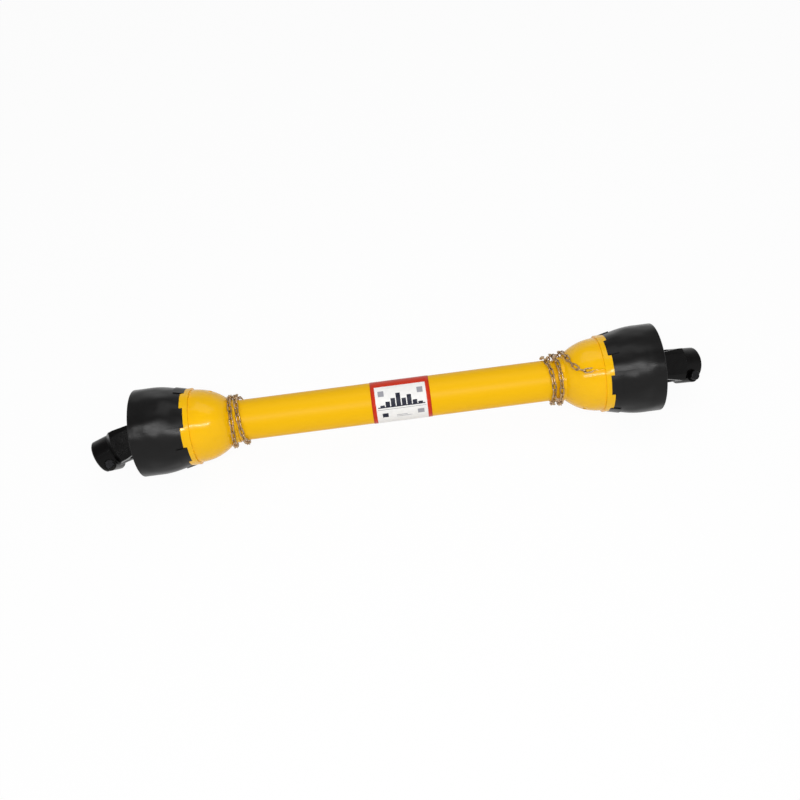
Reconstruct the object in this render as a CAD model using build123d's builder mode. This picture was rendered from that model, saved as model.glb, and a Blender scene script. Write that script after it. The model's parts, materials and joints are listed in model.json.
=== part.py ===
import os
from math import cos, degrees, radians, sin, sqrt

from build123d import *

os.makedirs("parts", exist_ok=True)

# Telescoping drive shaft with two universal joints and a full guard, lying on its cones.
# X runs along the shaft, from end a (minus) to end b (plus). Z is up, and the floor is z = 0.
# The origin lies under the middle of the shaft. All sizes are in millimetres and degrees.

# Clearances
run_gap = 0.3
press_gap = 0.1
side_gap = 0.25
slide_gap = 0.35

# How far a cut runs past the face that it opens
overcut = 1.0

# Shaft length with the tubes pushed together, from cross centre to cross centre
closed_length = 860.0

# Guard tubes
guard_tube_od = 70.0
guard_tube_wall = 2.0
guard_tube_gap = 0.6
guard_tube_end_gap = 7.0
inner_guard_tube_reach = 180.0

# Guard bell
mouth_overhang = 15.0
cone_length = 84.0
tooth_length = 6.0
tooth_angle = 30.0
tooth_thickness = 3.0
tooth_count = 6
collar_r = 66.0
collar_length = 8.0
dome_r = 62.8
dome_length = 61.0
bell_wall = 2.5
neck_wall = 2.4
neck_length = 12.0
slot_length = 11.0
slot_width = 5.0
slot_inset = 32.0

# Guard cone
cone_r = 75.0
cone_wall = 3.0
cone_shoulder_r = 64.6
cone_bend_inset = 62.0
cone_bend_r = 71.3
cone_straight_inset = 25.0
rim_round = 1.4
lug_length = 18.0
lug_height = 1.6
lug_angle = 28.0
lug_root = 1.0
spigot_length = 7.5
rest_flat_half = 13.0

# Where the teeth, slots and chain eyes sit, as degrees up from the minus Y side
view_elevation = 48.0
tooth_phase = {"a": 33.0, "b": 58.0}
slot_phase = {"a": 130.0, "b": -34.0}
eye_phase = {"a": 214.0, "b": 55.0}

# Guard bearing ring
ring_width = 14.0
ring_thickness = 5.0
ring_split = 5.0
ring_inset = 100.0
seat_lip = 2.5
lip_clearance = 0.8

# Profile tubes: three lobes around a centre
lobe_offset = 15.5
lobe_r = 10.0
profile_wall = 3.5
inner_profile_wall = 4.0
profile_end_gap = 35.0
inner_profile_end_gap = 30.0

# Universal joint
cup_r = 13.5
cup_span = 74.6
cup_length = 15.5
cup_bottom = 2.5
trunnion_r = 9.3
spider_arm_r = 12.0
spider_core_r = 15.5
seal_width = 2.6
circlip_thickness = 1.4
circlip_lip = 0.9
circlip_width = 2.6
circlip_opening = 40.0

# Forks
ear_boss_r = 21.0
ear_face = 41.0
ear_inner = 24.5
ear_pad_r = 17.5
ear_relief_r = 34.0
ear_relief = 4.0
ear_turned_r = 44.5
fork_floor = 44.0
fork_base = 52.0
fork_shoulder = 66.0
fork_base_width = 54.0
fork_floor_fillet = 7.0
fork_edge = 2.5
shoulder_step = 1.0

# Inner yoke hub
inner_hub_r = 31.0
inner_hub_end = 110.0
groove_depth = 2.5
socket_floor = 58.0
roll_pin_r = 5.0
roll_pin_wall = 1.8
roll_pin_station = 80.0
roll_pin_inset = 1.5
roll_pin_slot = 1.6

# Outer yoke hub with its six-spline bore and push pin
outer_hub_r = 28.5
outer_hub_end = 96.0
outer_hub_chamfer = 2.0
spline_count = 6
spline_minor_r = 14.95
spline_major_r = 17.5
spline_width = 8.74
spline_entry_r = 18.2
spline_entry_depth = 6.0
push_pin_r = 6.0
push_pin_waist_r = 3.4
push_pin_offset = 21.0
push_pin_station = 78.0
push_pin_boss_r = 11.0
push_pin_boss_half = 22.0
push_pin_head_r = 8.0
push_pin_head_sink = 1.0
push_pin_head_proud = 1.5
push_pin_head_round = 1.5
push_pin_travel = 8.0
push_pin_lock_end = 2.0
push_pin_end_land = 2.4
spring_pocket_depth = 17.0
spring_wire_r = 0.6
spring_turns = 4.5
spot_face_reach = 12.0
clip_thickness = 1.2
clip_groove_depth = 1.4
clip_width = 3.0
clip_grip = 1.0

# Rest angles: first about the inner trunnions, then about the outer ones
spider_tilt = {"a": -3.0, "b": 20.0}
yoke_tilt = {"a": -19.5, "b": -2.0}

# Grease nipple
nipple_thread_r = 3.0
nipple_hex_r = 4.6
nipple_hex_height = 4.0
nipple_ball_r = 3.2
nipple_neck_r = 2.2
nipple_length = 12.0
nipple_sink = 3.0

# Sticker
sticker_length = 100.0
sticker_middle_x = 6.5
sticker_angle = 215.0
sticker_phase = 38.0
sticker_gap = 0.2
sticker_thickness = 0.4

# Chain
chain_wire_r = 1.25
chain_opening = 13.0
chain_inner_width = 4.2
chain_slack = 0.7
chain_float = 1.5
chain_corner = 2.4
chain_lean = 45.0
lean_links = 4
wire_sides = 6
eye_hole_r = 2.5
eye_wall = 2.8
eye_station = 20.0
eye_rib_thickness = 3.0
hook_half = 8.2
hook_width = 3.0

# Worked out from the sizes above
cross_x = closed_length / 2
axis_z = sqrt(cone_r**2 - rest_flat_half**2)
side_of = {"a": -1, "b": 1}
shaft_axis = Axis((0, 0, axis_z), (1, 0, 0))

guard_tube_r = guard_tube_od / 2
inner_guard_tube_r = guard_tube_r - guard_tube_wall - guard_tube_gap
neck_r = guard_tube_r + run_gap + neck_wall

mouth_x = cross_x + mouth_overhang
tooth_end_x = mouth_x - cone_length
collar_edge_x = tooth_end_x - tooth_length
collar_back_x = collar_edge_x - collar_length
dome_foot_x = collar_back_x - dome_length
neck_end_x = dome_foot_x - neck_length
dome_drop = dome_r - neck_r
dome_arc_r = (dome_length**2 + dome_drop**2) / (2 * dome_drop)
dome_centre_r = dome_r - dome_arc_r
dome_bore_r = dome_r - bell_wall

ring_x = cross_x - ring_inset
groove_r = inner_hub_r - groove_depth
ring_inner_r = groove_r + run_gap
ring_outer_r = ring_inner_r + ring_thickness
seat_r = ring_outer_r + run_gap
seat_half = ring_width / 2 + side_gap
sleeve_end_x = ring_x + seat_half + seat_lip
tube_stop_x = ring_x - seat_half - seat_lip
lip_r = inner_hub_r + lip_clearance

cup_end = cup_span / 2
cup_start = cup_end - cup_length
cup_bore_r = trunnion_r + run_gap
seal_start = cup_start - run_gap - seal_width

link_half_width = chain_inner_width / 2 + chain_wire_r
link_half_length = chain_opening / 2 + chain_wire_r
link_pitch = chain_opening - chain_slack
chain_lift = link_half_width * sin(radians(chain_lean)) + chain_wire_r + chain_float


def meridian(end, angle):
    """Plane through the shaft axis: local x runs outward, local y is the radius at that angle."""
    side = side_of[end]
    return Plane(
        origin=(0, 0, axis_z),
        x_dir=(side, 0, 0),
        z_dir=(0, -side * sin(radians(angle)), -side * cos(radians(angle))),
    )


def station(x):
    """Plane square to the shaft at x, its local x pointing along the inner trunnions."""
    return Plane(
        origin=(x, 0, axis_z),
        x_dir=(0, sin(radians(view_elevation)), cos(radians(view_elevation))),
        z_dir=(1, 0, 0),
    )


def joint_plane(end):
    """Centre of a universal joint: z outward along the shaft, x along the inner trunnions."""
    side = side_of[end]
    return Plane(
        origin=(side * cross_x, 0, axis_z),
        x_dir=(0, sin(radians(view_elevation)), cos(radians(view_elevation))),
        z_dir=(side, 0, 0),
    )


def turned(plane, about_x, about_y, about_z):
    """The plane turned about its own axes."""
    return plane.moved(Location((0, 0, 0), (about_x, about_y, about_z)))


def spider_plane(end):
    return turned(joint_plane(end), spider_tilt[end], 0, 0)


def inner_yoke_plane(end):
    """Fork frame: z from the cross centre into the hub, x along the fork's own trunnions."""
    joint = joint_plane(end)
    return Plane(origin=joint.origin, x_dir=joint.x_dir, z_dir=-joint.z_dir)


def outer_yoke_plane(end):
    tilted = turned(spider_plane(end), 0, yoke_tilt[end], 0)
    return Plane(origin=tilted.origin, x_dir=tilted.y_dir, z_dir=tilted.z_dir)


def fork_side(fork):
    """Sketch plane with local x = the fork's y and local y = the fork's z."""
    return Plane(origin=fork.origin, x_dir=fork.y_dir, z_dir=fork.x_dir)


def fork_front(fork):
    """Sketch plane with local x = the fork's x and local y = the fork's z."""
    return Plane(origin=fork.origin, x_dir=fork.x_dir, z_dir=-fork.y_dir)


def across(fork, along, offset, distance):
    """Plane whose z is the fork's x, at a distance out along it."""
    origin = fork.origin + fork.x_dir * distance + fork.y_dir * offset + fork.z_dir * along
    return Plane(origin=origin, x_dir=fork.y_dir, z_dir=fork.x_dir)


def both_ends_of(fork):
    """The fork's frame facing each of its two ears in turn."""
    return [fork, turned(fork, 0, 0, 180)]


def finish(builder, name):
    builder.part.label = name
    export_step(builder.part, "parts/" + name + ".step")


def dome_height(x):
    """Outer radius of the bell or the tube at a distance x from the shaft's middle."""
    if x >= collar_back_x:
        return collar_r
    if x <= neck_end_x:
        return guard_tube_r
    if x <= dome_foot_x:
        return neck_r
    return dome_centre_r + sqrt(dome_arc_r**2 - (collar_back_x - x) ** 2)


# Forks

def fork_blank(fork, hub_r, hub_end):
    """A forged fork: two ears with their cup bores, their base, and a solid hub."""
    with BuildPart() as blank:
        with BuildSketch(fork_side(fork)):
            Circle(ear_boss_r)
            with Locations((0, (fork_shoulder + fork_floor) / 2)):
                Rectangle(fork_base_width, fork_shoulder - fork_floor)
            make_hull()
        extrude(amount=ear_face, both=True)
        ears = blank.faces().sort_by(Axis(fork.origin, fork.x_dir))
        fillet(ears[0].edges() + ears[-1].edges(), fork_edge)
        with BuildSketch(fork_front(fork)):
            with BuildLine():
                Polyline(
                    (0, -2 * ear_boss_r),
                    (ear_turned_r, -2 * ear_boss_r),
                    (ear_turned_r, fork_base),
                    (hub_r - shoulder_step, fork_shoulder),
                    (0, fork_shoulder),
                    close=True,
                )
            make_face()
        revolve(axis=Axis(fork.origin, fork.z_dir), mode=Mode.INTERSECT)
        with BuildSketch(fork.offset(fork_floor)):
            Circle(hub_r)
        extrude(amount=hub_end - fork_floor)
        with BuildSketch(fork_front(fork)):
            Rectangle(2 * ear_inner, 2 * fork_floor)
            fillet(vertices().group_by(Axis.Y)[-1], fork_floor_fillet)
        extrude(amount=fork_base_width, both=True, mode=Mode.SUBTRACT)
        with BuildSketch(across(fork, 0, 0, 0)):
            Circle(cup_r)
        extrude(amount=ear_face + overcut, both=True, mode=Mode.SUBTRACT)
        for ear in both_ends_of(fork):
            with BuildSketch(across(ear, 0, 0, cup_end)):
                Circle(cup_r + circlip_lip + press_gap)
            extrude(amount=circlip_thickness + press_gap, mode=Mode.SUBTRACT)
            with BuildSketch(across(ear, 0, 0, ear_inner)):
                Circle(ear_relief_r)
                Circle(ear_pad_r, mode=Mode.SUBTRACT)
            extrude(amount=ear_relief, mode=Mode.SUBTRACT)
    return blank.part


def lobed_profile(x, radius):
    """Three lobes of one radius around the shaft axis, joined by straight flanks."""
    with BuildSketch(station(x)) as profile:
        with PolarLocations(lobe_offset, 3):
            Circle(radius)
        make_hull()
    return profile.sketch


def inner_yoke(end, tube_lobe_r):
    fork = inner_yoke_plane(end)
    side = side_of[end]
    blank = fork_blank(fork, inner_hub_r, inner_hub_end)
    socket = lobed_profile(side * (cross_x - inner_hub_end), tube_lobe_r + press_gap)
    with BuildPart() as yoke:
        add(blank)
        with BuildSketch(meridian(end, view_elevation)):
            with Locations((ring_x, groove_r + inner_hub_r / 2)):
                Rectangle(2 * seat_half, inner_hub_r)
        revolve(axis=shaft_axis, mode=Mode.SUBTRACT)
        extrude(socket, amount=side * (inner_hub_end - socket_floor), mode=Mode.SUBTRACT)
        with BuildSketch(across(fork, roll_pin_station, 0, 0)):
            Circle(roll_pin_r + press_gap)
        extrude(amount=inner_hub_r + overcut, both=True, mode=Mode.SUBTRACT)
    finish(yoke, "inner_yoke_" + end)


def outer_yoke(end):
    fork = outer_yoke_plane(end)
    hub_face = fork.offset(outer_hub_end)
    pin_middle = across(fork, push_pin_station, push_pin_offset, 0)
    blank = fork_blank(fork, outer_hub_r, outer_hub_end)
    with BuildPart() as yoke:
        add(blank)
        chamfer(yoke.faces().sort_by(Axis(hub_face.origin, fork.z_dir))[-1].edges(), outer_hub_chamfer)
        with BuildSketch(pin_middle):
            Circle(push_pin_boss_r)
        extrude(amount=push_pin_boss_half, both=True)
        with BuildSketch(hub_face):
            Circle(spline_minor_r)
            with PolarLocations(spline_major_r / 2, spline_count):
                Rectangle(spline_major_r, spline_width)
        extrude(amount=-(outer_hub_end - fork_floor + overcut), mode=Mode.SUBTRACT)
        with BuildSketch(hub_face):
            Circle(spline_entry_r)
        extrude(amount=-spline_entry_depth, mode=Mode.SUBTRACT)
        with BuildSketch(pin_middle):
            Circle(push_pin_r + press_gap)
        extrude(amount=push_pin_boss_half + overcut, both=True, mode=Mode.SUBTRACT)
        with BuildSketch(pin_middle.offset(push_pin_boss_half - spring_pocket_depth)):
            Circle(push_pin_head_r + run_gap)
        extrude(amount=spring_pocket_depth + spot_face_reach, mode=Mode.SUBTRACT)
        with BuildSketch(pin_middle.offset(-push_pin_boss_half)):
            Circle(push_pin_r + clip_width)
        extrude(amount=-spot_face_reach, mode=Mode.SUBTRACT)
    finish(yoke, "outer_yoke_" + end)


# Push pins: a stepped pin, its spring under the head and its clip at the far end

def push_pin(end):
    fork = outer_yoke_plane(end)
    head_start = push_pin_boss_half - push_pin_head_sink
    tail = push_pin_boss_half + run_gap + clip_thickness + push_pin_end_land
    with BuildPart() as pin:
        with BuildSketch(across(fork, push_pin_station, push_pin_offset, -tail)):
            Circle(push_pin_r)
        extrude(amount=tail - push_pin_lock_end)
        with BuildSketch(across(fork, push_pin_station, push_pin_offset, -push_pin_lock_end)):
            Circle(push_pin_waist_r)
        extrude(amount=head_start + push_pin_lock_end)
        with BuildSketch(across(fork, push_pin_station, push_pin_offset, head_start)):
            Circle(push_pin_head_r)
        extrude(amount=push_pin_head_sink + push_pin_travel + push_pin_head_proud)
        fillet(pin.edges().sort_by(Axis(fork.origin, fork.x_dir))[-1], push_pin_head_round)
        with BuildSketch(across(fork, push_pin_station, push_pin_offset, -push_pin_boss_half - run_gap)):
            Circle(push_pin_r + overcut)
            Circle(push_pin_r - clip_groove_depth, mode=Mode.SUBTRACT)
        extrude(amount=-(clip_thickness + 2 * press_gap), mode=Mode.SUBTRACT)
    finish(pin, "push_pin_" + end)
    with BuildPart() as clip:
        with BuildSketch(across(fork, push_pin_station, push_pin_offset, -push_pin_boss_half - run_gap - press_gap)):
            Circle(push_pin_r - clip_groove_depth + press_gap + clip_width)
            Circle(push_pin_r - clip_groove_depth + press_gap, mode=Mode.SUBTRACT)
            with Locations((push_pin_r, 0)):
                Rectangle(2 * push_pin_r, 2 * (push_pin_r - clip_groove_depth) - clip_grip, mode=Mode.SUBTRACT)
        extrude(amount=-clip_thickness)
    finish(clip, "push_pin_clip_" + end)
    pocket_floor = push_pin_boss_half - spring_pocket_depth
    spring_length = head_start - pocket_floor - 2 * spring_wire_r - 2 * press_gap
    coil_r = push_pin_head_r - spring_wire_r - press_gap
    start = across(fork, push_pin_station, push_pin_offset, pocket_floor + spring_wire_r + press_gap)
    with BuildPart() as spring:
        with BuildLine(start):
            coil = Helix(spring_length / spring_turns, spring_length, coil_r, direction=start.z_dir)
        with BuildSketch(Plane(origin=coil @ 0, z_dir=coil % 0)):
            Circle(spring_wire_r)
        sweep(path=coil)
    finish(spring, "push_pin_spring_" + end)


# Bearing cups, circlips, spiders with their seals and grease nipples

def bearing_cups(fork, name):
    with BuildPart() as cups:
        for ear in both_ends_of(fork):
            with BuildSketch(across(ear, 0, 0, cup_start)):
                Circle(cup_r - press_gap)
            extrude(amount=cup_length)
            with BuildSketch(across(ear, 0, 0, cup_start)):
                Circle(cup_bore_r)
            extrude(amount=cup_length - cup_bottom, mode=Mode.SUBTRACT)
    finish(cups, name)


def circlips(fork, name):
    outer_r = cup_r + circlip_lip
    opening = 2 * outer_r * sin(radians(circlip_opening / 2))
    with BuildPart() as rings:
        for ear in both_ends_of(fork):
            with BuildSketch(across(ear, 0, 0, cup_end)):
                Circle(outer_r)
                Circle(outer_r - circlip_width, mode=Mode.SUBTRACT)
                with Locations((0, outer_r)):
                    Rectangle(opening, 2 * (outer_r - circlip_width), mode=Mode.SUBTRACT)
            extrude(amount=circlip_thickness)
    finish(rings, name)


def spider(end):
    cross = spider_plane(end)
    quarter = turned(cross, 0, 0, 90)
    with BuildPart() as body:
        with Locations(cross.location):
            Sphere(spider_core_r)
        for arm in (cross, quarter):
            with BuildSketch(across(arm, 0, 0, 0)):
                Circle(spider_arm_r)
            extrude(amount=seal_start - press_gap, both=True)
            with BuildSketch(across(arm, 0, 0, 0)):
                Circle(trunnion_r)
            extrude(amount=cup_end - cup_bottom - run_gap, both=True)
        with BuildSketch(cross.offset(spider_core_r - nipple_sink)):
            Circle(nipple_thread_r + press_gap)
        extrude(amount=nipple_sink + overcut, mode=Mode.SUBTRACT)
    finish(body, "spider_" + end)
    with BuildPart() as seals:
        for arm in both_ends_of(cross) + both_ends_of(quarter):
            with BuildSketch(across(arm, 0, 0, seal_start)):
                Circle(cup_r - press_gap)
                Circle(trunnion_r + press_gap, mode=Mode.SUBTRACT)
            extrude(amount=seal_width)
    finish(seals, "spider_seals_" + end)
    seat = cross.offset(spider_core_r)
    with BuildPart() as nipple:
        with BuildSketch(cross.offset(spider_core_r - nipple_sink)):
            Circle(nipple_thread_r)
        extrude(amount=nipple_sink)
        with BuildSketch(seat):
            RegularPolygon(nipple_hex_r, 6)
        extrude(amount=nipple_hex_height)
        with BuildSketch(seat.offset(nipple_hex_height)):
            Circle(nipple_neck_r)
        extrude(amount=nipple_length - nipple_hex_height - nipple_ball_r)
        with Locations(seat.offset(nipple_length - nipple_ball_r).location):
            Sphere(nipple_ball_r)
    finish(nipple, "grease_nipple_" + end)


# Roll pins and profile tubes

def roll_pin(end):
    fork = inner_yoke_plane(end)
    half = inner_hub_r - roll_pin_inset
    with BuildPart() as pin:
        with BuildSketch(across(fork, roll_pin_station, 0, 0)):
            Circle(roll_pin_r)
            Circle(roll_pin_r - roll_pin_wall, mode=Mode.SUBTRACT)
            with Locations((roll_pin_r, 0)):
                Rectangle(roll_pin_r, roll_pin_slot, mode=Mode.SUBTRACT)
        extrude(amount=half, both=True)
    finish(pin, "roll_pin_" + end)


def profile_tube(end, outer_lobe_r, wall, far_x, name):
    """Tube from inside the inner yoke of one end towards the other end."""
    side = side_of[end]
    start = side * (cross_x - socket_floor)
    outline = lobed_profile(start, outer_lobe_r)
    bore = lobed_profile(start, outer_lobe_r - wall)
    with BuildPart() as tube:
        extrude(outline, amount=far_x - start)
        extrude(bore, amount=far_x - start, mode=Mode.SUBTRACT)
        with BuildSketch(across(inner_yoke_plane(end), roll_pin_station, 0, 0)):
            Circle(roll_pin_r + press_gap)
        extrude(amount=inner_hub_r, both=True, mode=Mode.SUBTRACT)
    finish(tube, name)


# Guard

def bearing_ring(end):
    with BuildPart() as ring:
        with BuildSketch(meridian(end, view_elevation)):
            with Locations((ring_x, (ring_inner_r + ring_outer_r) / 2)):
                Rectangle(ring_width, ring_outer_r - ring_inner_r)
        revolve(axis=shaft_axis)
        with BuildSketch(Plane(origin=(side_of[end] * ring_x, 0, axis_z), x_dir=(1, 0, 0), z_dir=(0, 0, 1))):
            Rectangle(ring_width + 2 * overcut, ring_split)
        extrude(amount=-ring_outer_r - overcut, mode=Mode.SUBTRACT)
    finish(ring, "bearing_ring_" + end)


def guard_bell(end, tube_r):
    name = "guard_bell_" + end
    bore_r = tube_r + run_gap
    seat_start = ring_x - seat_half
    seat_end = ring_x + seat_half
    middle_x = (dome_foot_x + collar_back_x) / 2
    inner_arc_r = dome_arc_r - bell_wall
    cavity_x = collar_back_x - sqrt(inner_arc_r**2 - (neck_r - dome_centre_r) ** 2)
    cavity_middle_x = (cavity_x + collar_back_x) / 2
    cavity_middle_r = dome_centre_r + sqrt(inner_arc_r**2 - (collar_back_x - cavity_middle_x) ** 2)
    eye_x = collar_back_x - eye_station
    eye_r = dome_height(eye_x) + eye_hole_r + eye_wall
    with BuildPart() as bell:
        with BuildSketch(meridian(end, view_elevation)):
            with BuildLine():
                Polyline((neck_end_x, bore_r), (neck_end_x, neck_r), (dome_foot_x, neck_r))
                ThreePointArc(
                    (dome_foot_x, neck_r), (middle_x, dome_height(middle_x)), (collar_back_x, dome_r)
                )
                Polyline(
                    (collar_back_x, dome_r),
                    (collar_back_x, collar_r),
                    (collar_edge_x, collar_r),
                    (collar_edge_x, dome_bore_r),
                    (collar_back_x, dome_bore_r),
                )
                ThreePointArc(
                    (collar_back_x, dome_bore_r), (cavity_middle_x, cavity_middle_r), (cavity_x, neck_r)
                )
                Polyline(
                    (cavity_x, neck_r),
                    (sleeve_end_x, neck_r),
                    (sleeve_end_x, lip_r),
                    (seat_end, lip_r),
                    (seat_end, seat_r),
                    (seat_start, seat_r),
                    (seat_start, lip_r),
                    (tube_stop_x, lip_r),
                    (tube_stop_x, bore_r),
                    (neck_end_x, bore_r),
                )
            make_face()
        revolve(axis=shaft_axis)
        for tooth in range(tooth_count):
            angle = tooth_phase[end] + 360 / tooth_count * tooth
            with BuildSketch(meridian(end, angle + tooth_angle / 2)):
                with Locations((collar_edge_x, collar_r)):
                    Rectangle(tooth_length, tooth_thickness, align=(Align.MIN, Align.MAX))
            revolve(axis=shaft_axis, revolution_arc=tooth_angle)
        for angle in (slot_phase[end], slot_phase[end] + 180):
            window = meridian(end, angle)
            slot_x = collar_back_x - slot_inset
            centre = window.origin + window.x_dir * slot_x + window.y_dir * dome_r
            with BuildSketch(Plane(origin=centre, x_dir=window.x_dir, z_dir=-window.y_dir)):
                Rectangle(slot_width, slot_length)
            extrude(amount=dome_r - dome_height(slot_x) + 3 * bell_wall, mode=Mode.SUBTRACT)
        with BuildSketch(meridian(end, eye_phase[end])):
            with Locations((eye_x, eye_r)):
                Circle(eye_hole_r + eye_wall)
            with BuildLine():
                Polyline(
                    (eye_x - eye_wall, dome_height(eye_x - eye_wall) - bell_wall / 2),
                    (eye_x, eye_r + eye_hole_r + eye_wall),
                    (collar_back_x, collar_r),
                    (collar_back_x, dome_r - bell_wall / 2),
                    (eye_x, dome_height(eye_x) - bell_wall / 2),
                    close=True,
                )
            make_face()
        extrude(amount=eye_rib_thickness / 2, both=True)
        with BuildSketch(meridian(end, eye_phase[end])):
            with Locations((eye_x, eye_r)):
                Circle(eye_hole_r)
        extrude(amount=eye_rib_thickness, both=True, mode=Mode.SUBTRACT)
    finish(bell, name)


def guard_cone(end):
    bend_x = mouth_x - cone_bend_inset
    straight_x = mouth_x - cone_straight_inset
    slope = (cone_bend_r - cone_shoulder_r) / (bend_x - collar_edge_x)
    spigot_r = dome_bore_r - run_gap
    lug_end_x = collar_edge_x + lug_length
    pocket_angle = tooth_angle + degrees(2 * run_gap / collar_r)
    with BuildPart() as cone:
        with BuildSketch(meridian(end, view_elevation)):
            with BuildLine():
                Polyline(
                    (collar_edge_x - spigot_length, spigot_r - cone_wall),
                    (collar_edge_x - spigot_length, spigot_r),
                    (collar_edge_x, spigot_r),
                    (collar_edge_x, cone_shoulder_r),
                    (bend_x, cone_bend_r),
                )
                TangentArc((bend_x, cone_bend_r), (straight_x, cone_r), tangent=(1, slope))
                Polyline((straight_x, cone_r), (mouth_x, cone_r), (mouth_x, cone_r - cone_wall))
                Line((mouth_x, cone_r - cone_wall), (straight_x, cone_r - cone_wall))
                TangentArc(
                    (bend_x, cone_bend_r - cone_wall), (straight_x, cone_r - cone_wall), tangent=(1, slope)
                )
                Polyline(
                    (bend_x, cone_bend_r - cone_wall),
                    (tooth_end_x, spigot_r - cone_wall),
                    (collar_edge_x - spigot_length, spigot_r - cone_wall),
                )
            make_face()
        revolve(axis=shaft_axis)
        fillet(cone.faces().sort_by(Axis.X)[0 if end == "a" else -1].edges(), rim_round)
        for lug in range(tooth_count):
            angle = tooth_phase[end] + 360 / tooth_count * (lug + 0.5)
            with BuildSketch(meridian(end, angle + lug_angle / 2)):
                with BuildLine():
                    Polyline(
                        (collar_edge_x, cone_shoulder_r - lug_root),
                        (collar_edge_x, cone_shoulder_r + lug_height),
                        (lug_end_x, cone_shoulder_r + slope * lug_length + lug_height),
                        (lug_end_x, cone_shoulder_r + slope * lug_length - lug_root),
                        close=True,
                    )
                make_face()
            revolve(axis=shaft_axis, revolution_arc=lug_angle)
        for pocket in range(tooth_count):
            angle = tooth_phase[end] + 360 / tooth_count * pocket
            with BuildSketch(meridian(end, angle + pocket_angle / 2)):
                with Locations((collar_edge_x, collar_r - tooth_thickness - run_gap)):
                    Rectangle(tooth_length + side_gap, 3 * tooth_thickness, align=(Align.MIN, Align.MIN))
            revolve(axis=shaft_axis, revolution_arc=pocket_angle, mode=Mode.SUBTRACT)
        with BuildSketch(Plane.XY):
            Rectangle(3 * mouth_x, 2 * cone_r)
        extrude(amount=-cone_r, mode=Mode.SUBTRACT)
    finish(cone, "guard_cone_" + end)


def guard_tube(end, outer_r, far_x, name):
    start = side_of[end] * (tube_stop_x - side_gap)
    with BuildPart() as tube:
        with BuildSketch(station(start)):
            Circle(outer_r)
            Circle(outer_r - guard_tube_wall, mode=Mode.SUBTRACT)
        extrude(amount=far_x - start)
    finish(tube, name)


def tube_sticker():
    middle = guard_tube_r + sticker_gap + sticker_thickness / 2
    with BuildPart() as sticker:
        with BuildSketch(meridian("b", sticker_phase + sticker_angle / 2)):
            with Locations((sticker_middle_x, middle)):
                Rectangle(sticker_length, sticker_thickness)
        revolve(axis=shaft_axis, revolution_arc=sticker_angle)
    finish(sticker, "tube_sticker")


# Safety chains

# Each route after the eye is a list of stops: distance past the foot of the dome, and degrees on from the eye.
chain_route = {
    "a": [
        (29, 0), (20, 4), (13, 12), (8, 24), (5, 40), (2, 62), (0, 88), (-2, 117), (-5, 152),
        (-6, 194), (-4, 236), (-2, 284), (-7, 326), (-13, 374), (-19, 418), (-23, 464), (-21, 508),
        (-18, 554), (-15, 598), (-12, 644), (-18, 691), (-25, 736), (-31, 781),
    ],
    "b": [
        (29, 0), (20, 4), (13, 12), (8, 24), (5, 40), (2, 62), (0, 86), (-2, 113), (-5, 145),
        (-7, 181), (-8, 217), (-10, 263), (-10, 307), (-9, 353), (-11, 397), (-15, 443), (-18, 487),
        (-19, 533), (-21, 577), (-22, 623), (-22, 667), (-22, 713), (-26, 757), (-31, 803), (-34, 845),
    ],
}


def chain_height(x):
    """Radius of the chain's middle line where it lies on the bell or the tube."""
    step = min(max((neck_end_x - x) / link_pitch, 0), 1)
    on_neck = neck_r - (neck_r - guard_tube_r) * step + chain_lift
    if x < dome_foot_x - link_pitch:
        return on_neck
    on_dome = dome_centre_r + sqrt((dome_arc_r + chain_lift) ** 2 - (collar_back_x - x) ** 2)
    return max(on_dome, on_neck)


def round_wire(points, closed):
    """Wire of a few flats bent along the points, which lie in the XY plane."""
    with BuildPart() as wire:
        with BuildLine() as bend:
            Polyline(*points, close=closed)
        with BuildSketch(Plane(origin=bend.line @ 0, z_dir=bend.line % 0)):
            RegularPolygon(chain_wire_r, wire_sides)
        sweep(path=bend.line, transition=Transition.RIGHT)
    return wire.part


def link_outline():
    """Middle line of one link, an octagon longer than it is wide."""
    half_w = link_half_width
    half_l = link_half_length
    cut = chain_corner
    return [
        (half_l, 0), (half_l, half_w - cut), (half_l - cut, half_w), (cut - half_l, half_w),
        (-half_l, half_w - cut), (-half_l, cut - half_w), (cut - half_l, -half_w),
        (half_l - cut, -half_w), (half_l, cut - half_w),
    ]


def hook_outline():
    """Middle line of an S hook."""
    inner = hook_half - hook_width
    return [
        (-inner / 2, -hook_width), (-inner, -hook_width), (-hook_half, -hook_width / 2),
        (-hook_half, hook_width / 2), (-inner, hook_width), (-inner / 2, hook_width),
        (inner / 2, -hook_width), (inner, -hook_width), (hook_half, -hook_width / 2),
        (hook_half, hook_width / 2), (inner, hook_width), (inner / 2, hook_width),
    ]


def route_point(end, x, angle, height):
    across_axis = meridian(end, angle)
    return across_axis.origin + across_axis.x_dir * x + across_axis.y_dir * height


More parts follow.
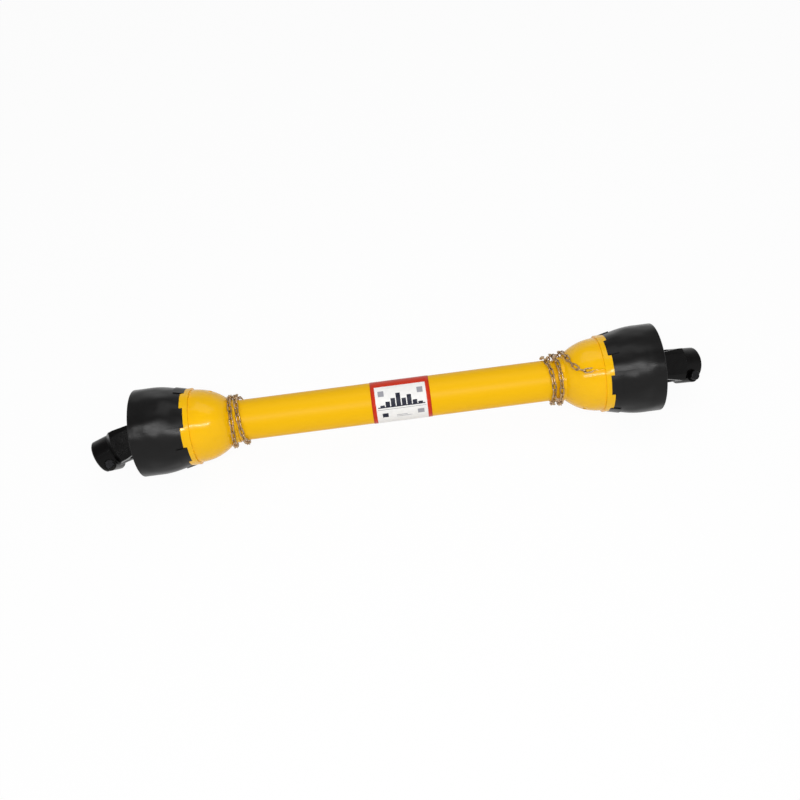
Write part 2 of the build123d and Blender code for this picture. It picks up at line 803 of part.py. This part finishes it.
def safety_chain(end):
    """Links hooked through each other from the bell's eye around its neck, and a hook on the last."""
    eye_x = collar_back_x - eye_station
    eye_r = dome_height(eye_x) + eye_hole_r + eye_wall
    points = [route_point(end, eye_x, eye_phase[end], eye_r)]
    for past_foot, turn in chain_route[end]:
        x = dome_foot_x + past_foot
        points.append(route_point(end, x, eye_phase[end] + turn, chain_height(x)))
    with BuildLine() as route:
        Spline(*points)
    path = route.edges()[0]
    count = 2 * int((path.length - 2 * hook_half) / link_pitch / 2)
    overlap = link_half_length - link_pitch / 2
    link = round_wire(link_outline(), True)
    links = []
    for number in range(count + 1):
        back = path.position_at(overlap + number * link_pitch, PositionMode.LENGTH)
        front = path.position_at(overlap + (number + 1) * link_pitch, PositionMode.LENGTH)
        along = (front - back).normalized()
        half = link_pitch / 2 if number < count else hook_half - overlap
        place = back + along * half
        away = place - Vector(place.X, 0, axis_z)
        frame = Plane(origin=place, x_dir=along, z_dir=away - along * away.dot(along))
        lean = min(number / lean_links, 1) * chain_lean
        frame = turned(frame, number * 90 - side_of[end] * lean, 0, 0)
        if number == count:
            hook = round_wire(hook_outline(), False).moved(frame.location)
        else:
            links.append(link.moved(frame.location))
    with BuildPart() as chain:
        add(links)
    finish(chain, "safety_chain_" + end)
    with BuildPart() as last:
        add(hook)
    finish(last, "chain_hook_" + end)


inner_lobe_r = lobe_r - profile_wall - slide_gap
for end in ("a", "b"):
    inner_yoke(end, lobe_r if end == "a" else inner_lobe_r)
    outer_yoke(end)
    push_pin(end)
    spider(end)
    bearing_cups(inner_yoke_plane(end), "inner_cups_" + end)
    bearing_cups(outer_yoke_plane(end), "outer_cups_" + end)
    circlips(inner_yoke_plane(end), "inner_circlips_" + end)
    circlips(outer_yoke_plane(end), "outer_circlips_" + end)
    roll_pin(end)
    bearing_ring(end)
    guard_bell(end, guard_tube_r if end == "a" else inner_guard_tube_r)
    guard_cone(end)
    safety_chain(end)

profile_tube("a", lobe_r, profile_wall, cross_x - inner_hub_end - profile_end_gap, "outer_profile_tube")
profile_tube(
    "b",
    inner_lobe_r,
    inner_profile_wall,
    inner_hub_end + inner_profile_end_gap - cross_x,
    "inner_profile_tube",
)
guard_tube("a", guard_tube_r, neck_end_x - guard_tube_end_gap, "outer_guard_tube")
guard_tube("b", inner_guard_tube_r, inner_guard_tube_reach - cross_x, "inner_guard_tube")
tube_sticker()
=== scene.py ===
import json
import math

import bmesh
import bpy
import numpy as np
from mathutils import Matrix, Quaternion, Vector


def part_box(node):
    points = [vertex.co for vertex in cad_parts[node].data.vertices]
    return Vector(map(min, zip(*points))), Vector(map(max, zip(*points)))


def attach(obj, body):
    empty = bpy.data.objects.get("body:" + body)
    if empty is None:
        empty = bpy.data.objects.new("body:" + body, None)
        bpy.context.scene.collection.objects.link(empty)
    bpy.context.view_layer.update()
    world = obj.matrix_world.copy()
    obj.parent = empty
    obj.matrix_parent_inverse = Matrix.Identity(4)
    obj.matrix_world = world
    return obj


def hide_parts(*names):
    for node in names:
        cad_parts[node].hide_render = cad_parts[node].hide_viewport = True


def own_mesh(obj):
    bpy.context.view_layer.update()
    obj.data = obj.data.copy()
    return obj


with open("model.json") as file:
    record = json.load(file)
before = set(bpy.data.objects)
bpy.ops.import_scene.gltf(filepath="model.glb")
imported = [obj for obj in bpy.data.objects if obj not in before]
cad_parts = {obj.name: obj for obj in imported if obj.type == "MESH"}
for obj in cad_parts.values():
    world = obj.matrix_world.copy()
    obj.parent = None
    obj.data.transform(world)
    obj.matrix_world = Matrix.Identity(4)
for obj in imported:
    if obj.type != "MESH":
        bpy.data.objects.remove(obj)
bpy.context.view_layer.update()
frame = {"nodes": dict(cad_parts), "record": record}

# Looks of a guarded drive shaft that lies on its two cones. Metres, X along the shaft, Z up.

MM = 0.001
ENDS = ("a", "b")

# Height of the shaft's middle line, read from the frame
TUBE_LOW, TUBE_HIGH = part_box("outer_guard_tube")
AXIS_Z = (TUBE_HIGH.z + TUBE_LOW.z) / 2


# Node helpers

def new_material(name):
    material = bpy.data.materials.new(name)
    material.use_nodes = True
    return material, material.node_tree, material.node_tree.nodes["Principled BSDF"]


def node(tree, kind, **values):
    """A shader node with its properties and inputs set by name; spaces in input names are underscores."""
    made = tree.nodes.new(kind)
    for key, value in values.items():
        if hasattr(made, key):
            setattr(made, key, value)
        else:
            made.inputs[key.replace("_", " ")].default_value = value
    return made


def place(tree, stretch):
    """Coordinates of the resting object in metres, stretched by a factor on each axis."""
    source = node(tree, "ShaderNodeTexCoord")
    mapping = node(tree, "ShaderNodeMapping", Scale=stretch)
    tree.links.new(source.outputs["Object"], mapping.inputs["Vector"])
    return mapping.outputs["Vector"]


def noise(tree, scale, detail, stretch=(1, 1, 1)):
    """Noise from 0 to 1, with its scale in waves per metre."""
    made = node(tree, "ShaderNodeTexNoise", Scale=scale, Detail=detail)
    tree.links.new(place(tree, stretch), made.inputs["Vector"])
    return made.outputs["Fac"]


def ramp(tree, source, stops):
    """Colour ramp from two (position, colour) stops."""
    made = node(tree, "ShaderNodeValToRGB")
    for element, (position, colour) in zip(made.color_ramp.elements, stops):
        element.position = position
        element.color = (*colour, 1)
    tree.links.new(source, made.inputs["Fac"])
    return made.outputs["Color"]


def spread(tree, source, low, high):
    """Maps a 0 to 1 texture to a range."""
    made = node(tree, "ShaderNodeMapRange", To_Min=low, To_Max=high)
    tree.links.new(source, made.inputs["Value"])
    return made.outputs["Result"]


def bump(tree, source, height, under=None):
    """Normal of a texture that stands up by a height in metres, over another bump if there is one."""
    made = node(tree, "ShaderNodeBump", Strength=1.0, Distance=height)
    tree.links.new(source, made.inputs["Height"])
    if under is not None:
        tree.links.new(under, made.inputs["Normal"])
    return made.outputs["Normal"]


def shade(colour, factor):
    return tuple(channel * factor for channel in colour)


def worn(tree, colour_output, bare, low, high):
    """Shows a lighter colour where edges stand out, as handling leaves it."""
    geometry = node(tree, "ShaderNodeNewGeometry")
    mask = node(tree, "ShaderNodeMapRange", From_Min=low, From_Max=high)
    tree.links.new(geometry.outputs["Pointiness"], mask.inputs["Value"])
    mix = node(tree, "ShaderNodeMix", data_type="RGBA")
    mix.inputs["B"].default_value = (*bare, 1)
    tree.links.new(mask.outputs["Result"], mix.inputs["Factor"])
    tree.links.new(colour_output, mix.inputs["A"])
    return mix.outputs["Result"]


# Moulded and extruded plastic. Each texture has a scale in waves per metre and its number of finer layers.

YELLOW = (0.91, 0.50, 0.0015)
BLACK = (0.0032, 0.0030, 0.0030)
NYLON = (0.62, 0.60, 0.53)
RUBBER = (0.02, 0.019, 0.018)

CLOUD = {"scale": 14, "detail": 3}
CLOUD_SHADE = 0.93
CLOUD_STOPS = (0.3, 0.7)
SMEAR = {"scale": 60, "detail": 4}
SMEAR_GLOSSIER, SMEAR_DULLER = 0.06, 0.08
WAVE = {"scale": 22, "detail": 1}
GRAIN = {"scale": 1400, "detail": 2}
EXTRUSION_STRETCH = (0.08, 1, 1)


def moulded_plastic(name, colour, roughness, grain_height, wave_height, stretch=(1, 1, 1), gloss=0.07):
    """Plastic with a slight cloud in its colour, a moulded grain and a soft waviness."""
    material, tree, shader = new_material(name)
    shader.inputs["Specular IOR Level"].default_value = gloss
    cloud = noise(tree, **CLOUD, stretch=stretch)
    tint = ramp(tree, cloud, zip(CLOUD_STOPS, (shade(colour, CLOUD_SHADE), colour)))
    tree.links.new(tint, shader.inputs["Base Color"])
    smear = noise(tree, **SMEAR, stretch=stretch)
    dullness = spread(tree, smear, roughness - SMEAR_GLOSSIER, roughness + SMEAR_DULLER)
    tree.links.new(dullness, shader.inputs["Roughness"])
    wave = bump(tree, noise(tree, **WAVE, stretch=stretch), wave_height)
    grain = bump(tree, noise(tree, **GRAIN, stretch=stretch), grain_height, under=wave)
    tree.links.new(grain, shader.inputs["Normal"])
    return material


# Paint over forged steel

PAINT = (0.0016, 0.0014, 0.0014)
PAINT_CLOUD = {"scale": 40, "detail": 4}
PAINT_LIGHTER = 1.7
PAINT_STOPS = (0.35, 0.75)
PAINT_GLOSS = 0.12
PAINT_ROUGHNESS = (0.24, 0.32)
PAINT_SMEAR = {"scale": 120, "detail": 2}
WORN_PAINT = (0.05, 0.047, 0.043)
WORN_EDGES = (0.60, 0.80)
FORGED_SKIN = {"scale": 60, "detail": 1}
FORGED_HEIGHT = 0.4 * MM
PAINT_PEEL = {"scale": 450, "detail": 0}
PEEL_HEIGHT = 0.02 * MM
BARE_STEEL = (0.46, 0.45, 0.43)
BARE_DARKER = 0.6
BARE_STOPS = (0.3, 0.7)
MACHINING = {"scale": 260, "detail": 4}
BORE_MARGIN = 0.2 * MM


def inside_bore(tree, mount):
    """1 inside the bore of a mount, 0 outside it."""
    source = node(tree, "ShaderNodeTexCoord")
    from_mouth = node(tree, "ShaderNodeVectorMath", operation="SUBTRACT")
    from_mouth.inputs[1].default_value = mount["pos_m"]
    sideways = node(tree, "ShaderNodeVectorMath", operation="CROSS_PRODUCT")
    sideways.inputs[1].default_value = mount["axis"]
    reach = node(tree, "ShaderNodeVectorMath", operation="LENGTH")
    within = node(tree, "ShaderNodeMath", operation="LESS_THAN")
    within.inputs[1].default_value = mount["dims"]["r_mm"] * MM + BORE_MARGIN
    tree.links.new(source.outputs["Object"], from_mouth.inputs[0])
    tree.links.new(from_mouth.outputs["Vector"], sideways.inputs[0])
    tree.links.new(sideways.outputs["Vector"], reach.inputs[0])
    tree.links.new(reach.outputs["Value"], within.inputs[0])
    return within.outputs["Value"]


def painted_forging(name, bore=None):
    """Black paint over a forged skin, with bare steel inside a machined bore if one is given."""
    material, tree, shader = new_material(name)
    shader.inputs["Specular IOR Level"].default_value = PAINT_GLOSS
    tint = ramp(tree, noise(tree, **PAINT_CLOUD), zip(PAINT_STOPS, (PAINT, shade(PAINT, PAINT_LIGHTER))))
    tint = worn(tree, tint, WORN_PAINT, *WORN_EDGES)
    if bore is not None:
        mask = inside_bore(tree, bore)
        bare_colours = (shade(BARE_STEEL, BARE_DARKER), BARE_STEEL)
        bare = ramp(tree, noise(tree, **MACHINING), zip(BARE_STOPS, bare_colours))
        mix = node(tree, "ShaderNodeMix", data_type="RGBA")
        tree.links.new(mask, mix.inputs["Factor"])
        tree.links.new(tint, mix.inputs["A"])
        tree.links.new(bare, mix.inputs["B"])
        tree.links.new(mask, shader.inputs["Metallic"])
        tint = mix.outputs["Result"]
    tree.links.new(tint, shader.inputs["Base Color"])
    tree.links.new(spread(tree, noise(tree, **PAINT_SMEAR), *PAINT_ROUGHNESS), shader.inputs["Roughness"])
    skin = bump(tree, noise(tree, **FORGED_SKIN), FORGED_HEIGHT)
    peel = bump(tree, noise(tree, **PAINT_PEEL), PEEL_HEIGHT, under=skin)
    tree.links.new(peel, shader.inputs["Normal"])
    return material


# Bare and plated steel

DRAWN_STEEL = (0.42, 0.41, 0.40)
GROUND_STEEL = (0.60, 0.59, 0.57)
DARK_STEEL = (0.028, 0.028, 0.030)
SPRING_STEEL = (0.30, 0.29, 0.28)
PLATED_STEEL = (0.66, 0.60, 0.42)
CHAIN_PLATING = (0.62, 0.42, 0.22)
STAIN_SCALE = 220
CHAIN_STAIN_SCALE = 140
STAIN_DETAIL = 5
STAIN_STOPS = (0.3, 0.65)
STEEL_SMEAR = {"scale": 400, "detail": 3}
STEEL_GLOSSIER, STEEL_DULLER = 0.08, 0.12
STEEL_GRAIN = {"scale": 2200, "detail": 2}
STEEL_GRAIN_HEIGHT = 0.05 * MM


def steel(name, colour, roughness, stain=0.55, stain_scale=STAIN_SCALE):
    """Metal with darker stains and a fine grain."""
    material, tree, shader = new_material(name)
    shader.inputs["Metallic"].default_value = 1.0
    stains = noise(tree, stain_scale, STAIN_DETAIL)
    tint = ramp(tree, stains, zip(STAIN_STOPS, (shade(colour, stain), colour)))
    tree.links.new(tint, shader.inputs["Base Color"])
    smear = noise(tree, **STEEL_SMEAR)
    dullness = spread(tree, smear, roughness - STEEL_GLOSSIER, roughness + STEEL_DULLER)
    tree.links.new(dullness, shader.inputs["Roughness"])
    tree.links.new(bump(tree, noise(tree, **STEEL_GRAIN), STEEL_GRAIN_HEIGHT), shader.inputs["Normal"])
    return material


# Printed film of the sticker

FILM_WHITE = (0.86, 0.85, 0.83)
FILM_RED = (0.60, 0.035, 0.012)
FILM_SLATE = (0.022, 0.024, 0.040)
FILM_GREY = (0.33, 0.33, 0.36)
FILM_GLOSS = 0.1
FILM_ROUGHNESS = (0.22, 0.40)
FILM_DUST = {"scale": 160, "detail": 4}
DUST_SHADE = 0.94
DUST_STOPS = (0.25, 0.6)
FILM_SCUFFS = {"scale": 90, "detail": 3}
FILM_WAVE = {"scale": 70, "detail": 2}
FILM_WAVE_HEIGHT = 0.1 * MM


def print_film(name, colour):
    """One colour of a printed film, with faint dust and scuffs."""
    material, tree, shader = new_material(name)
    shader.inputs["Specular IOR Level"].default_value = FILM_GLOSS
    tint = ramp(tree, noise(tree, **FILM_DUST), zip(DUST_STOPS, (shade(colour, DUST_SHADE), colour)))
    tree.links.new(tint, shader.inputs["Base Color"])
    tree.links.new(spread(tree, noise(tree, **FILM_SCUFFS), *FILM_ROUGHNESS), shader.inputs["Roughness"])
    tree.links.new(bump(tree, noise(tree, **FILM_WAVE), FILM_WAVE_HEIGHT), shader.inputs["Normal"])
    return material


# Materials by their slots in the record, and those of the guard tubes and the sticker's colours

MATERIALS = {
    "guard_yellow": moulded_plastic(
        "moulded_yellow", YELLOW, roughness=0.15, grain_height=0.01 * MM, wave_height=3.4 * MM, gloss=0.2
    ),
    "tube_yellow": moulded_plastic(
        "extruded_yellow", YELLOW, roughness=0.40, grain_height=0.02 * MM, wave_height=0.9 * MM,
        stretch=EXTRUSION_STRETCH, gloss=0.12,
    ),
    "guard_black": moulded_plastic(
        "moulded_black", BLACK, roughness=0.31, grain_height=0.03 * MM, wave_height=6.0 * MM, gloss=0.22
    ),
    "ring_nylon": moulded_plastic(
        "natural_nylon", NYLON, roughness=0.42, grain_height=0.03 * MM, wave_height=0.5 * MM
    ),
    "seal_rubber": moulded_plastic(
        "seal_rubber_skin", RUBBER, roughness=0.55, grain_height=0.05 * MM, wave_height=0.3 * MM
    ),
    "yoke_paint": painted_forging("forging_paint"),
    "tube_steel": steel("drawn_tube_steel", DRAWN_STEEL, roughness=0.38),
    "bearing_steel": steel("ground_bearing_steel", GROUND_STEEL, roughness=0.24, stain=0.8),
    "pin_steel": steel("dark_pin_steel", DARK_STEEL, roughness=0.40),
    "spring_steel": steel("spring_wire_steel", SPRING_STEEL, roughness=0.3),
    "nipple_steel": steel("plated_nipple_steel", PLATED_STEEL, roughness=0.28, stain=0.8),
    "chain_zinc": steel(
        "passivated_chain_zinc", CHAIN_PLATING, roughness=0.34, stain=0.35, stain_scale=CHAIN_STAIN_SCALE
    ),
    "sticker_film": print_film("film_white", FILM_WHITE),
    "film_red": print_film("film_red", FILM_RED),
    "film_slate": print_film("film_slate", FILM_SLATE),
    "film_grey": print_film("film_grey", FILM_GREY),
}


# Each CAD node gets the material of its slot, and each outer yoke one with bare steel in its own bore

def dress(obj, material):
    obj.data.materials.clear()
    obj.data.materials.append(material)


SLOT_OF = {entry["node"]: entry["material_slot"] for entry in frame["record"]["subparts"]}
BODY_OF = {}
for body_name, members in frame["record"]["behaviour"]["bodies"].items():
    for member in members:
        BODY_OF[member] = body_name
for name, shown in frame["nodes"].items():
    kind = SLOT_OF[name]
    if name.endswith("guard_tube"):
        kind = "tube_yellow"
    dress(shown, MATERIALS[kind])
for mount in frame["record"]["mounts"]:
    if mount["name"].startswith("hub_entry_"):
        end = mount["name"][-1]
        dress(frame["nodes"]["outer_yoke_" + end], painted_forging("forging_paint_" + end, mount))


# Pieces that stand for CAD nodes. Corners of a CAD mesh that lie nearer than this are one corner.

JOIN_WITHIN = 1e-6


def welded(name):
    """A CAD node's mesh with its split corners joined."""
    mesh = bmesh.new()
    mesh.from_mesh(frame["nodes"][name].data)
    bmesh.ops.remove_doubles(mesh, verts=mesh.verts, dist=JOIN_WITHIN)
    return mesh


def solids_of(name):
    """Corner points of each separate solid in a CAD node."""
    mesh = welded(name)
    left = set(mesh.verts)
    solids = []
    for seed in mesh.verts:
        if seed not in left:
            continue
        left.remove(seed)
        queue = [seed]
        found = []
        while queue:
            vertex = queue.pop()
            found.append(tuple(vertex.co))
            for edge in vertex.link_edges:
                other = edge.other_vert(vertex)
                if other in left:
                    left.remove(other)
                    queue.append(other)
        solids.append(np.array(found))
    mesh.free()
    return solids


def new_piece(name, mesh, node_name, materials):
    """A smooth-shaded object that rides on the body of the CAD node it stands for."""
    piece = bpy.data.objects.new(name, mesh)
    bpy.context.scene.collection.objects.link(piece)
    for material in materials:
        mesh.materials.append(material)
    mesh.shade_smooth()
    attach(piece, BODY_OF[node_name])
    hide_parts(node_name)
    return piece


# Chain links of round wire, each where its CAD solid lies

LINK_WIRE = 1.2 * MM
WELD_SWELL = 0.22
WELD_HALF = 1.3 * MM
LINK_ARC_STEPS = 9
LINK_SIDE_STEPS = 8
WIRE_STEPS = 10


def link_path(half_long, half_wide):
    """Middle line of a link: points, outward directions and how much the wire swells there."""
    straight = half_long - half_wide
    path = []
    for side in (1, -1):
        for step in range(LINK_ARC_STEPS):
            turn = math.pi * (step / LINK_ARC_STEPS - 0.5)
            out = Vector((math.cos(turn) * side, math.sin(turn) * side, 0))
            path.append((Vector((straight * side, 0, 0)) + out * half_wide, out, 1.0))
        for step in range(LINK_SIDE_STEPS):
            along = straight * side * (1 - 2 * step / LINK_SIDE_STEPS)
            swell = WELD_SWELL * math.exp(-((along / WELD_HALF) ** 2)) if side > 0 else 0
            path.append((Vector((along, half_wide * side, 0)), Vector((0, side, 0)), 1 + swell))
    return path


def link_shape(half_long, half_wide):
    """Corners and faces of one link, long side along X."""
    path = link_path(half_long, half_wide)
    corners = []
    for middle, out, swell in path:
        for step in range(WIRE_STEPS):
            turn = 2 * math.pi * step / WIRE_STEPS
            around = out * math.cos(turn) + Vector((0, 0, math.sin(turn)))
            corners.append(middle + around * LINK_WIRE * swell)
    faces = []
    rings = len(path)
    for ring in range(rings):
        onward = (ring + 1) % rings
        for step in range(WIRE_STEPS):
            beside = (step + 1) % WIRE_STEPS
            faces.append((
                ring * WIRE_STEPS + step,
                onward * WIRE_STEPS + step,
                onward * WIRE_STEPS + beside,
                ring * WIRE_STEPS + beside,
            ))
    return np.array(corners), faces


def link_axes(points):
    """Directions of a link's length, width and thickness, as columns."""
    shortest_first = np.linalg.eigh(np.cov((points - points.mean(0)).T))[1]
    axes = shortest_first[:, ::-1]
    axes[:, 2] = np.cross(axes[:, 0], axes[:, 1])
    return axes


def smooth_chain(node_name):
    """Every link of a chain, as long and as wide as its CAD solid."""
    corners, faces = [], []
    for points in solids_of(node_name):
        axes = link_axes(points)
        lying = points @ axes
        low, high = lying.min(0), lying.max(0)
        half_long, half_wide = (high - low)[:2] / 2 - LINK_WIRE
        shape, shape_faces = link_shape(half_long, half_wide)
        first = len(corners)
        corners.extend((shape + (low + high) / 2) @ axes.T)
        faces.extend(tuple(first + corner for corner in face) for face in shape_faces)
    mesh = bpy.data.meshes.new(node_name + "_links")
    mesh.from_pydata([tuple(corner) for corner in corners], [], faces)
    new_piece(node_name + "_links", mesh, node_name, [MATERIALS["chain_zinc"]])


# Chain hooks of rounded wire. Triangles that lie within the flat limit, in radians, become quads first.

HOOK_FLAT_LIMIT = 0.1
HOOK_SHAPE_LIMIT = 3.2
HOOK_SUBDIVISIONS = 2


def smooth_hook(node_name):
    """The hook's wire rounded off by subdivision."""
    source = welded(node_name)
    bmesh.ops.join_triangles(
        source,
        faces=source.faces,
        angle_face_threshold=HOOK_FLAT_LIMIT,
        angle_shape_threshold=HOOK_SHAPE_LIMIT,
    )
    mesh = bpy.data.meshes.new(node_name + "_wire")
    source.to_mesh(mesh)
    source.free()
    piece = new_piece(node_name + "_wire", mesh, node_name, [MATERIALS["chain_zinc"]])
    rounding = piece.modifiers.new("rounding", "SUBSURF")
    rounding.levels = rounding.render_levels = HOOK_SUBDIVISIONS


# Push pin springs

def spring(end):
    """A push pin's spring, smooth-shaded on its own copy of the CAD mesh."""
    node_name = "push_pin_spring_" + end
    source = welded(node_name)
    mesh = bpy.data.meshes.new(node_name + "_coil")
    source.to_mesh(mesh)
    source.free()
    piece = new_piece(node_name + "_coil", mesh, node_name, [MATERIALS["spring_steel"]])
    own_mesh(piece)


# Sticker: fields of plain colour, as a material, two shares of its length and two heights in degrees
# up from the front of the tube. A later field lies over an earlier one. The middle is that of its wrap.

STICKER_MIDDLE = 38.0
STICKER_STEP = 3.0
STICKER_FILMS = ["sticker_film", "film_red", "film_slate", "film_grey"]
BLOCK_FIELDS = [
    ("film_red", 0.0, 1.0, -90, 180),
    ("sticker_film", 0.068, 0.932, -90, 93),
    ("film_grey", 0.09, 0.91, 24.6, 26),
    ("film_slate", 0.10, 0.90, 30, 33),
    ("film_grey", 0.12, 0.22, 62, 78),
    ("film_grey", 0.78, 0.88, 62, 78),
    ("film_slate", 0.16, 0.26, 0, 14),
    ("film_grey", 0.40, 0.66, -2, 0),
    ("film_grey", 0.40, 0.58, 3, 5),
    ("film_grey", 0.76, 0.87, 2, 16),
]
BAR_FOOT = 33
BAR_TOPS = [38, 47, 55, 68, 52, 60, 44, 38]
BAR_WIDTH = 0.075
BARS_FROM, BARS_TO = 0.14, 0.86


def bar_fields():
    """Plain bars of several heights, evenly spaced along the sticker."""
    bars = []
    for number, top in enumerate(BAR_TOPS):
        left = BARS_FROM + (BARS_TO - BARS_FROM - BAR_WIDTH) * number / (len(BAR_TOPS) - 1)
        bars.append(("film_slate", left, left + BAR_WIDTH, BAR_FOOT, top))
    return bars


def film_at(fields, share, turn):
    """Number of the film that shows at a place on the sticker."""
    inside = [film for film, left, right, foot, top in fields if left < share < right and foot < turn < top]
    return STICKER_FILMS.index(inside[-1])


def sticker():
    """Film over the CAD sticker, with faces cut at the edges of its fields."""
    low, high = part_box("tube_sticker")
    cloud = np.array([tuple(vertex.co) for vertex in frame["nodes"]["tube_sticker"].data.vertices])
    radii = np.hypot(cloud[:, 1], cloud[:, 2] - AXIS_Z)
    angles = np.degrees(np.arctan2(cloud[:, 2] - AXIS_Z, -cloud[:, 1])) - STICKER_MIDDLE
    angles = (angles + 180) % 360 - 180 + STICKER_MIDDLE
    foot, top = angles.min(), angles.max()
    fields = BLOCK_FIELDS + bar_fields()
    shares = sorted({0.0, 1.0} | {share for field in fields for share in field[1:3]})
    steps = math.ceil((top - foot) / STICKER_STEP)
    even_turns = {foot + (top - foot) * step / steps for step in range(steps + 1)}
    turns = sorted(even_turns | {edge for field in fields for edge in field[3:5] if foot < edge < top})
    corners = []
    for turn in turns:
        out = Vector((0, -math.cos(math.radians(turn)), math.sin(math.radians(turn))))
        for share in shares:
            x = low.x + (high.x - low.x) * share
            corners.append(Vector((x, 0, AXIS_Z)) + out * radii.max())
    faces, films = [], []
    across = len(shares)
    for row in range(len(turns) - 1):
        for column in range(across - 1):
            corner = row * across + column
            faces.append((corner, corner + 1, corner + across + 1, corner + across))
            share = (shares[column] + shares[column + 1]) / 2
            turn = (turns[row] + turns[row + 1]) / 2
            films.append(film_at(fields, share, turn))
    mesh = bpy.data.meshes.new("sticker_film")
    mesh.from_pydata(corners, [], faces)
    mesh.polygons.foreach_set("material_index", films)
    piece = new_piece("sticker_print", mesh, "tube_sticker", [MATERIALS[film] for film in STICKER_FILMS])
    film = piece.modifiers.new("film", "SOLIDIFY")
    film.thickness = radii.max() - radii.min()
    film.offset = -1


sticker()
for end in ENDS:
    smooth_chain("safety_chain_" + end)
    smooth_hook("chain_hook_" + end)
    spring(end)


# Camera, as in the photograph. It stands a little to the right of the shaft's middle.

VIEW_ELEVATION = math.radians(48)
VIEW_ROLL = math.radians(7.4)
VIEW_DISTANCE = 1.58
VIEW_ASIDE = 0.0047
SENSOR = 36.0
PIXELS = 800
PIXELS_PER_METRE = 582


def make_camera():
    """Looks down square to the shaft, rolled so that the shaft rises to the right."""
    data = bpy.data.cameras.new("camera")
    data.sensor_width = SENSOR
    data.lens = PIXELS_PER_METRE * VIEW_DISTANCE / PIXELS * SENSOR
    camera = bpy.data.objects.new("camera", data)
    bpy.context.scene.collection.objects.link(camera)
    back = Vector((0, -math.cos(VIEW_ELEVATION), math.sin(VIEW_ELEVATION)))
    turn = back.to_track_quat("Z", "Y") @ Quaternion((0, 0, 1), -VIEW_ROLL)
    camera.location = Vector((0, 0, AXIS_Z)) + back * VIEW_DISTANCE + turn @ Vector((VIEW_ASIDE, 0, 0))
    camera.rotation_euler = turn.to_euler()
    bpy.context.scene.camera = camera


# Floor and studio

WHITE = (1, 1, 1, 1)
FLOOR_SIZE = 60
FLOOR_GREY = (0.85, 0.85, 0.85, 1)
FLOOR_ROUGHNESS = 0.9
FLOOR_GLOW = 0.95
SOFT_LIGHT = 0.34
WALL_ENDS = 0.35
CEILING_STARTS = 0.6


def seen_directly(tree):
    """1 for camera, glossy and transmission rays."""
    path = node(tree, "ShaderNodeLightPath")
    first = node(tree, "ShaderNodeMath", operation="MAXIMUM")
    second = node(tree, "ShaderNodeMath", operation="MAXIMUM")
    tree.links.new(path.outputs["Is Camera Ray"], first.inputs[0])
    tree.links.new(path.outputs["Is Glossy Ray"], first.inputs[1])
    tree.links.new(first.outputs[0], second.inputs[0])
    tree.links.new(path.outputs["Is Transmission Ray"], second.inputs[1])
    return second.outputs[0]


def pale_floor():
    """A pale floor that keeps the object's shadow, nearly white for the rays that see it."""
    bpy.ops.mesh.primitive_plane_add(size=FLOOR_SIZE)
    floor = bpy.context.object
    floor.name = "studio_floor"
    material, tree, shader = new_material("studio_floor_white")
    shader.inputs["Base Color"].default_value = FLOOR_GREY
    shader.inputs["Roughness"].default_value = FLOOR_ROUGHNESS
    shader.inputs["Specular IOR Level"].default_value = 0.0
    glow = node(tree, "ShaderNodeEmission", Strength=1.0)
    share = node(tree, "ShaderNodeMath", operation="MULTIPLY")
    share.inputs[1].default_value = FLOOR_GLOW
    tree.links.new(seen_directly(tree), share.inputs[0])
    mix = node(tree, "ShaderNodeMixShader")
    tree.links.new(share.outputs[0], mix.inputs[0])
    tree.links.new(shader.outputs[0], mix.inputs[1])
    tree.links.new(glow.outputs[0], mix.inputs[2])
    tree.links.new(mix.outputs[0], tree.nodes["Material Output"].inputs["Surface"])
    floor.data.materials.append(material)


def studio_world():
    """Soft light from all round, with white walls up to a dimmer ceiling for the rays that see them."""
    world = bpy.data.worlds.new("studio")
    bpy.context.scene.world = world
    world.use_nodes = True
    tree = world.node_tree
    soft = tree.nodes["Background"]
    soft.inputs["Color"].default_value = WHITE
    soft.inputs["Strength"].default_value = SOFT_LIGHT
    white = node(tree, "ShaderNodeBackground", Color=WHITE, Strength=1.0)
    towards = node(tree, "ShaderNodeTexCoord")
    height = node(tree, "ShaderNodeSeparateXYZ")
    tree.links.new(towards.outputs["Generated"], height.inputs["Vector"])
    wall = node(tree, "ShaderNodeMapRange", From_Min=CEILING_STARTS, From_Max=WALL_ENDS)
    tree.links.new(height.outputs["Z"], wall.inputs["Value"])
    share = node(tree, "ShaderNodeMath", operation="MULTIPLY")
    tree.links.new(wall.outputs["Result"], share.inputs[0])
    tree.links.new(seen_directly(tree), share.inputs[1])
    mix = node(tree, "ShaderNodeMixShader")
    tree.links.new(share.outputs[0], mix.inputs[0])
    tree.links.new(soft.outputs[0], mix.inputs[1])
    tree.links.new(white.outputs[0], mix.inputs[2])
    tree.links.new(mix.outputs[0], tree.nodes["World Output"].inputs["Surface"])


# Lights: a long thin strip that draws a bright line along tube and cones, and a broad box above

def softbox(name, at, towards, width, depth, watts):
    light = bpy.data.lights.new(name, "AREA")
    light.shape = "RECTANGLE"
    light.size = width
    light.size_y = depth
    light.energy = watts
    holder = bpy.data.objects.new(name, light)
    holder.location = at
    holder.rotation_euler = (Vector(towards) - Vector(at)).to_track_quat("-Z", "Y").to_euler()
    bpy.context.scene.collection.objects.link(holder)


make_camera()
pale_floor()
studio_world()
softbox("key_strip", at=(-0.05, -1.1, 1.35), towards=(-0.05, 0, AXIS_Z), width=1.7, depth=0.06, watts=20)
softbox("top_softbox", at=(0.2, 0.5, 1.8), towards=(0, 0, AXIS_Z), width=1.6, depth=1.0, watts=7)
bpy.context.scene.view_settings.view_transform = "Standard"
